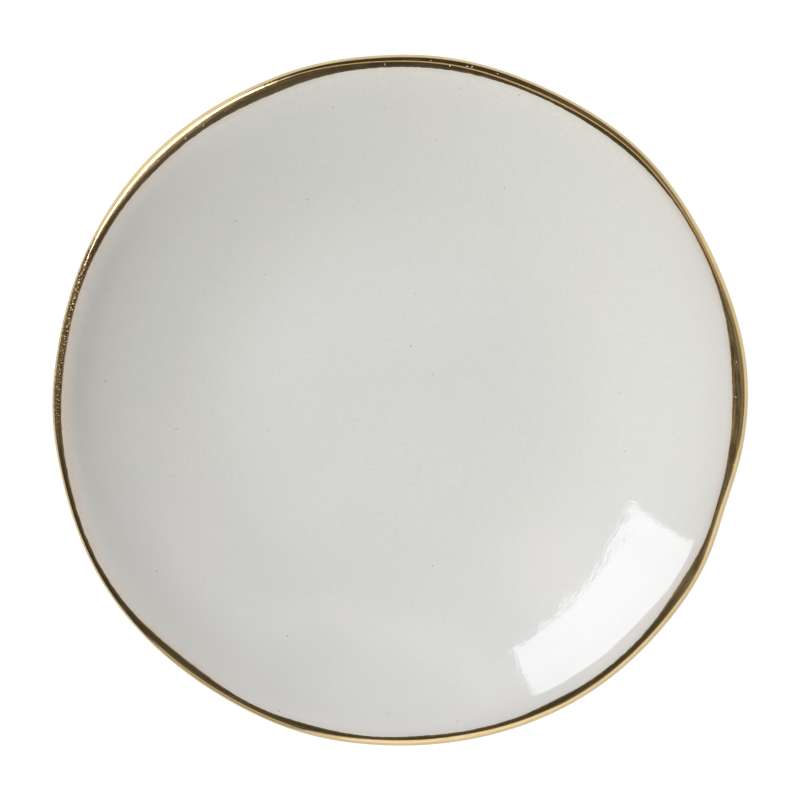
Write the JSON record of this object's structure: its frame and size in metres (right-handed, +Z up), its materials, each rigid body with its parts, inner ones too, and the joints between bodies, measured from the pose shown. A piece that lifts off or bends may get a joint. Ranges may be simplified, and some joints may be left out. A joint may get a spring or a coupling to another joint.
{
  "type": "saucer",
  "caption": "Round coupe saucer with a softly irregular outline, a level well, a rising wall and a rounded gilded lip, standing on a bare foot ring.",
  "frame": {"origin": "on the table, under the middle of the rim's bounding rectangle and under the middle of the foot ring", "axes": "+Z up out of the well; +X to the right and +Y to the top of the dish as seen from above"},
  "size_m": [0.1504, 0.1494, 0.0177],
  "materials": {
    "bare_stoneware": "unglazed fired clay, matt and slightly sandy",
    "glaze": "glossy off-white glaze with a few small iron specks",
    "gold_lustre": "fired gold lustre, mirror-like, brushed on by hand"
  },
  "bodies": {
    "root": {"stoneware_body": "bare_stoneware", "glaze_coat": "glaze", "base_glaze": "glaze", "gold_rim": "gold_lustre"}
  },
  "joints": []
}
